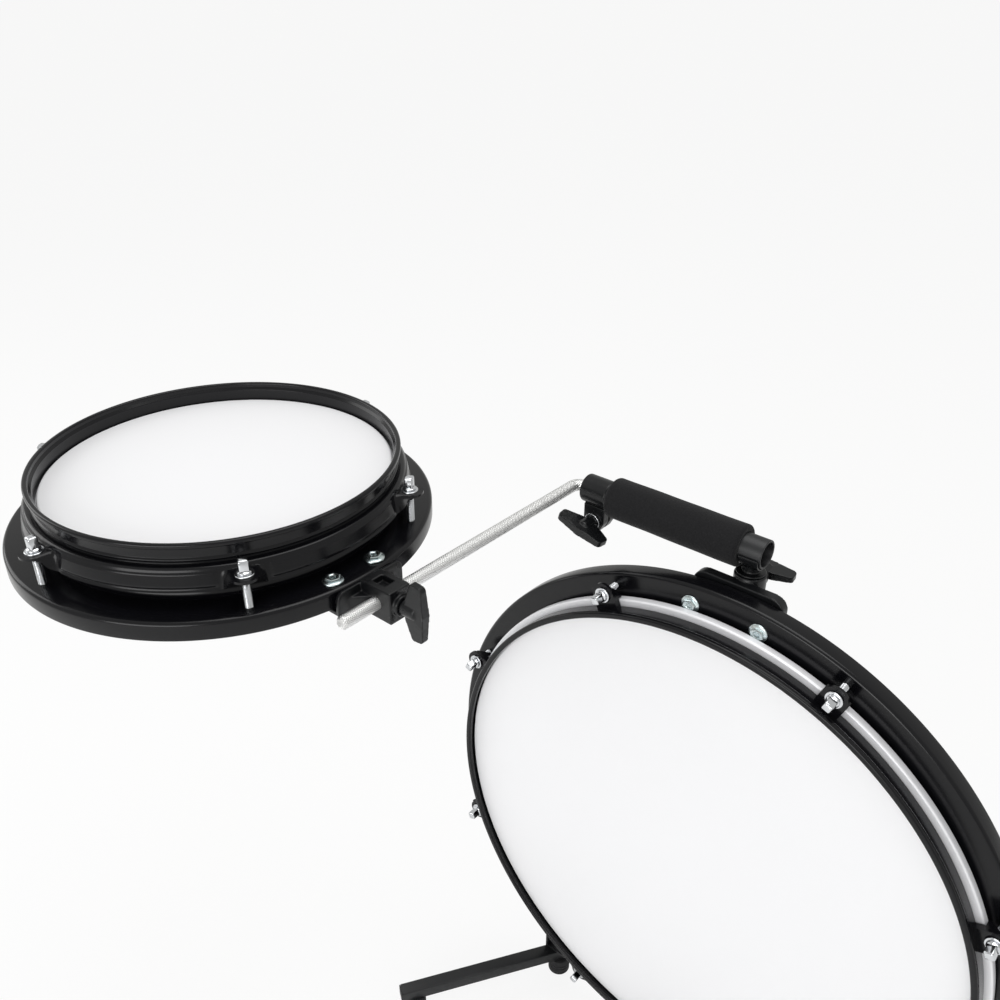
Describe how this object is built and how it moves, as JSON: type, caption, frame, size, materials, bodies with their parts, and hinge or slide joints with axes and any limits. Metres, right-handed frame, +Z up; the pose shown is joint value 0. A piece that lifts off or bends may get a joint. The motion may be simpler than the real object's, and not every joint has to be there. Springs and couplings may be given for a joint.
{
  "type": "drum kit",
  "caption": "compact travelling drum kit: shallow upright bass drum on swinging legs, with a carrying grip whose bent rod holds a small level snare drum",
  "frame": {"origin": "on the floor under the middle of the kit's outline", "axes": "+X to the player's right along the bass drum's face, +Y away from the player through the bass drum, +Z up"},
  "size_m": [0.7398, 0.4032, 0.6113],
  "materials": {
    "gloss_black_paint": "gloss black powder coat on spun and rolled steel",
    "satin_black_paint": "satin black paint on folded steel and tube",
    "black_coated_casting": "satin black coating on zinc castings",
    "coated_white_film": "white coated polyester film",
    "satin_aluminium": "satin rolled aluminium",
    "chrome": "polished chrome plate",
    "zinc_plate": "bright blue-white zinc plate",
    "knurled_plated_steel": "fine knurled, nickel plated",
    "bright_spring_wire": "bright drawn wire",
    "black_foam": "closed-cell foam with a matt skin",
    "black_rubber": "moulded rubber",
    "black_nylon": "moulded nylon"
  },
  "bodies": {
    "bass_drum": {"bass_pan_ring": "gloss_black_paint", "bass_head": "coated_white_film", "bass_flesh_hoop": "satin_aluminium", "bass_counterhoop": "gloss_black_paint", "bass_tension_rod_1": "chrome", "bass_tension_rod_2": "chrome", "bass_tension_rod_3": "chrome", "bass_tension_rod_4": "chrome", "bass_tension_rod_5": "chrome", "bass_tension_rod_6": "chrome", "bass_tension_rod_7": "chrome", "bass_tension_rod_8": "chrome", "handle_bracket": "black_coated_casting", "handle_bracket_screw_left": "zinc_plate", "handle_bracket_screw_right": "zinc_plate", "pedal_plate": "satin_black_paint", "pedal_plate_screw_left": "zinc_plate", "pedal_plate_screw_right": "zinc_plate", "leg_bracket_left": "satin_black_paint", "leg_bracket_right": "satin_black_paint", "leg_bracket_screw_left_1": "zinc_plate", "leg_bracket_screw_left_2": "zinc_plate", "leg_bracket_screw_right_1": "zinc_plate", "leg_bracket_screw_right_2": "zinc_plate", "leg_pivot_bolt_left": "zinc_plate", "leg_pivot_bolt_right": "zinc_plate", "leg_pivot_foot_left": "black_rubber", "leg_pivot_foot_right": "black_rubber"},
    "left_leg": {"leg_bar_left": "satin_black_paint", "leg_end_plug_left": "black_nylon", "leg_toe_foot_left": "black_rubber"},
    "right_leg": {"leg_bar_right": "satin_black_paint", "leg_end_plug_right": "black_nylon", "leg_toe_foot_right": "black_rubber"},
    "receiver_screw": {"receiver_wing_screw": "black_coated_casting"},
    "grip_arm": {"handle_tee": "black_coated_casting", "handle_tube": "satin_black_paint", "foam_grip": "black_foam", "rod_clamp": "black_coated_casting", "rod_clamp_washer": "chrome"},
    "clamp_screw": {"rod_clamp_wing_screw": "black_coated_casting"},
    "clamp_liner": {"rod_clamp_liner": "black_nylon"},
    "rod": {"l_rod": "knurled_plated_steel"},
    "snare_liner": {"snare_clamp_liner": "black_nylon"},
    "snare_drum": {"snare_pan_ring": "gloss_black_paint", "snare_head": "coated_white_film", "snare_flesh_hoop": "satin_aluminium", "snare_counterhoop": "gloss_black_paint", "snare_tension_rod_1": "chrome", "snare_tension_rod_2": "chrome", "snare_tension_rod_3": "chrome", "snare_tension_rod_4": "chrome", "snare_tension_rod_5": "chrome", "snare_tension_rod_6": "chrome", "snare_bracket": "black_coated_casting", "snare_bracket_screw_front": "zinc_plate", "snare_bracket_screw_rear": "zinc_plate", "snare_wires": "bright_spring_wire"},
    "snare_screw": {"snare_wing_screw": "black_coated_casting"}
  },
  "joints": [
    {"name": "left_leg_swing", "type": "hinge", "parent": "bass_drum", "child": "left_leg", "pos_m": [-0.0191, 0.14185, 0.02465], "axis": [0, 0, 1], "range_deg": [-57.5, 60]},
    {"name": "right_leg_swing", "type": "hinge", "parent": "bass_drum", "child": "right_leg", "pos_m": [0.2549, 0.14185, 0.02465], "axis": [0, 0, 1], "range_deg": [-60, 57.5]},
    {"name": "receiver_screw_turn", "type": "hinge", "parent": "bass_drum", "child": "receiver_screw", "pos_m": [0.1179, 0.18785, 0.5298], "axis": [0, 1, 0], "continuous": true},
    {"name": "arm_swivel", "type": "hinge", "parent": "bass_drum", "child": "grip_arm", "pos_m": [0.1179, 0.16585, 0.53], "axis": [0, 0, 1], "continuous": true},
    {"name": "clamp_screw_turn", "type": "hinge", "parent": "grip_arm", "child": "clamp_screw", "pos_m": [-0.0166, 0.15085, 0.5355], "axis": [0, 1, 0], "continuous": true},
    {"name": "rod_tilt", "type": "hinge", "parent": "grip_arm", "child": "clamp_liner", "pos_m": [-0.0071, 0.16585, 0.559], "axis": [1, 0, 0], "range_deg": [-90, 20]},
    {"name": "rod_slide", "type": "slide", "parent": "clamp_liner", "child": "rod", "axis": [-1, 0, 0], "range_m": [0, 0.035]},
    {"name": "snare_slide", "type": "slide", "parent": "rod", "child": "snare_liner", "axis": [0, 1, 0], "range_m": [-0.028, 0.045]},
    {"name": "snare_tilt", "type": "hinge", "parent": "snare_liner", "child": "snare_drum", "pos_m": [-0.0389, -0.04565, 0.559], "axis": [0, 1, 0], "range_deg": [-20, 45]},
    {"name": "snare_screw_turn", "type": "hinge", "parent": "snare_drum", "child": "snare_screw", "pos_m": [-0.0141, -0.04565, 0.559], "axis": [1, 0, 0], "continuous": true}
  ]
}
